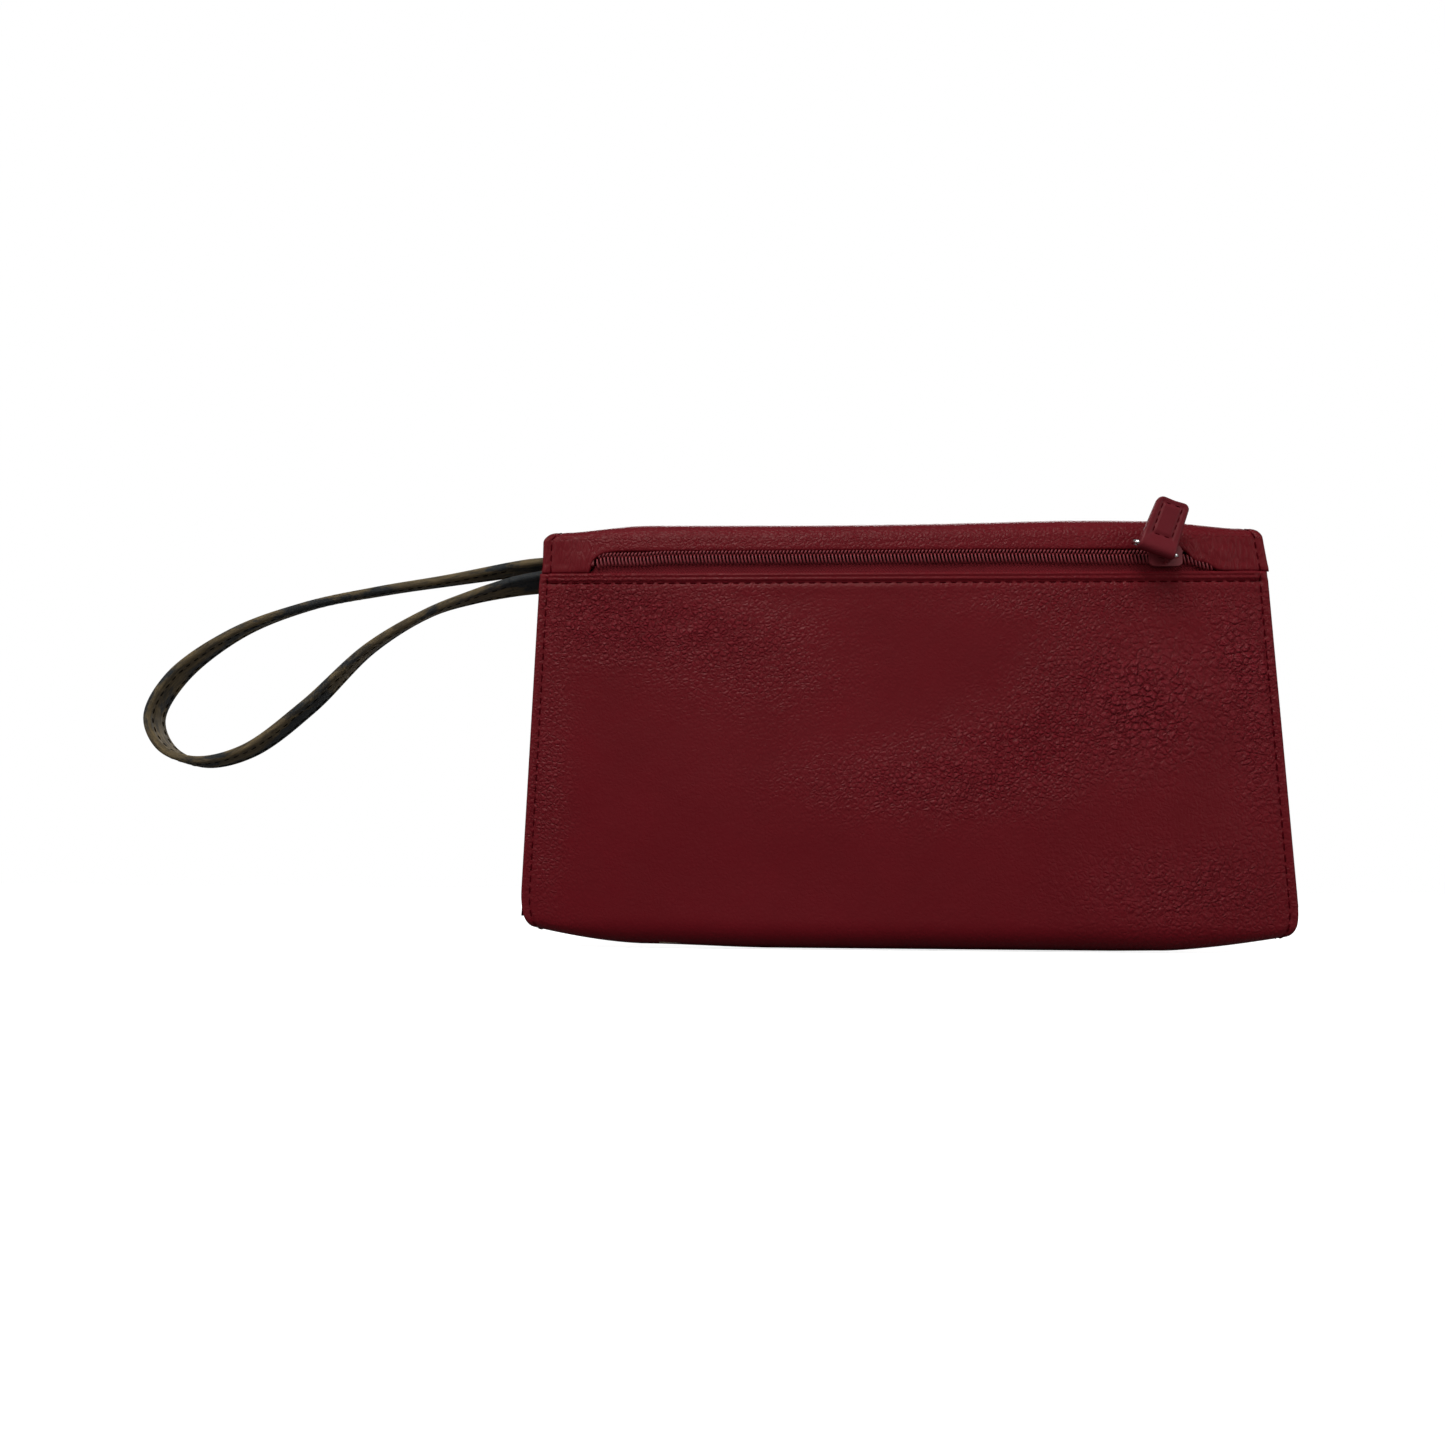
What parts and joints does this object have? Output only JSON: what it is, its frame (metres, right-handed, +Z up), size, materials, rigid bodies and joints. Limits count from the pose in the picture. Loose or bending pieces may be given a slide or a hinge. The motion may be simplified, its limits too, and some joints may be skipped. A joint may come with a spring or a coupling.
{
  "type": "wristlet wallet",
  "caption": "Flap wristlet wallet of soft leather with a rear zip pocket, magnetic snap, card pockets and a printed wrist strap.",
  "frame": {"origin": "centre of the flat strip under the base that the wallet stands on", "axes": "+X across the wallet towards the end away from the strap, +Y towards the flap side, +Z up from the base to the flap fold"},
  "size_m": [0.3554, 0.0313, 0.1357],
  "materials": {
    "red_leather": "soft sheen, fine pebbled grain",
    "board": "matt pressed fibre board",
    "lining_fabric": "plain woven polyester",
    "zip_tape": "herringbone woven tape",
    "zip_coil": "nylon monofilament",
    "zip_metal": "baked enamel",
    "snap_metal": "nickel plate",
    "magnet": "sintered ferrite",
    "link_chrome": "bright plate",
    "strap_print": "olive-brown woven fabric with irregular black bars",
    "strap_webbing": "flat polyester webbing"
  },
  "bodies": {
    "body": {"rear_panel": "red_leather", "base_board": "board", "back_yoke": "red_leather", "gusset_left": "red_leather", "gusset_right": "red_leather", "divider_wall": "lining_fabric", "card_pocket_upper": "lining_fabric", "card_pocket_middle": "lining_fabric", "card_pocket_lower": "lining_fabric", "zip_pocket_bag": "lining_fabric", "zip_tape_upper": "zip_tape", "zip_tape_lower": "zip_tape", "zip_coil_upper": "zip_coil", "zip_coil_lower": "zip_coil", "zip_bottom_stop": "zip_metal", "zip_top_stops": "zip_metal", "strap_tail": "strap_print"},
    "front": {"front_panel": "red_leather", "front_stiffener": "board", "front_lining": "lining_fabric", "snap_socket": "snap_metal", "snap_magnet": "magnet", "snap_socket_plate": "snap_metal"},
    "flap": {"flap_outer": "red_leather", "flap_stiffener": "board", "flap_lining": "lining_fabric", "snap_stud": "snap_metal", "snap_stud_plate": "snap_metal"},
    "slider": {"zip_slider": "zip_metal"},
    "link": {"pull_link": "link_chrome"},
    "tab": {"pull_tab": "red_leather"},
    "strap_root": {"strap_neck": "strap_print"},
    "strap_loop": {"strap_cover": "strap_print", "strap_core": "strap_webbing"}
  },
  "joints": [
    {"name": "flap_open", "type": "hinge", "parent": "body", "child": "flap", "pos_m": [0, 0, 0.1252], "axis": [1, 0, 0], "range_deg": [0, 165]},
    {"name": "mouth_open", "type": "hinge", "parent": "body", "child": "front", "pos_m": [0, 0.009, 0.009], "axis": [-1, 0, 0], "range_deg": [0, 8.25]},
    {"name": "zip_slide", "type": "slide", "parent": "body", "child": "slider", "axis": [-1, 0, 0], "range_m": [0, 0.168]},
    {"name": "link_swing", "type": "hinge", "parent": "slider", "child": "link", "pos_m": [0.08, -0.00885, 0.1194], "axis": [0.9336, 0, -0.3584], "range_deg": [-12, 54]},
    {"name": "tab_swing", "type": "hinge", "parent": "link", "child": "tab", "pos_m": [0.07535, -0.0139, 0.11984], "axis": [0.9336, 0, -0.3584], "range_deg": [-17, 90]},
    {"name": "strap_fold", "type": "hinge", "parent": "body", "child": "strap_root", "pos_m": [-0.1185, 0, 0.116], "axis": [0, 0, 1], "range_deg": [-60, 75]},
    {"name": "strap_droop", "type": "hinge", "parent": "strap_root", "child": "strap_loop", "pos_m": [-0.1266, 0, 0.116], "axis": [0, 1, 0], "range_deg": [-35, 60]}
  ],
  "couplings": [
    {"joint": "mouth_open", "follows": "flap_open", "ratio": 0.05}
  ]
}
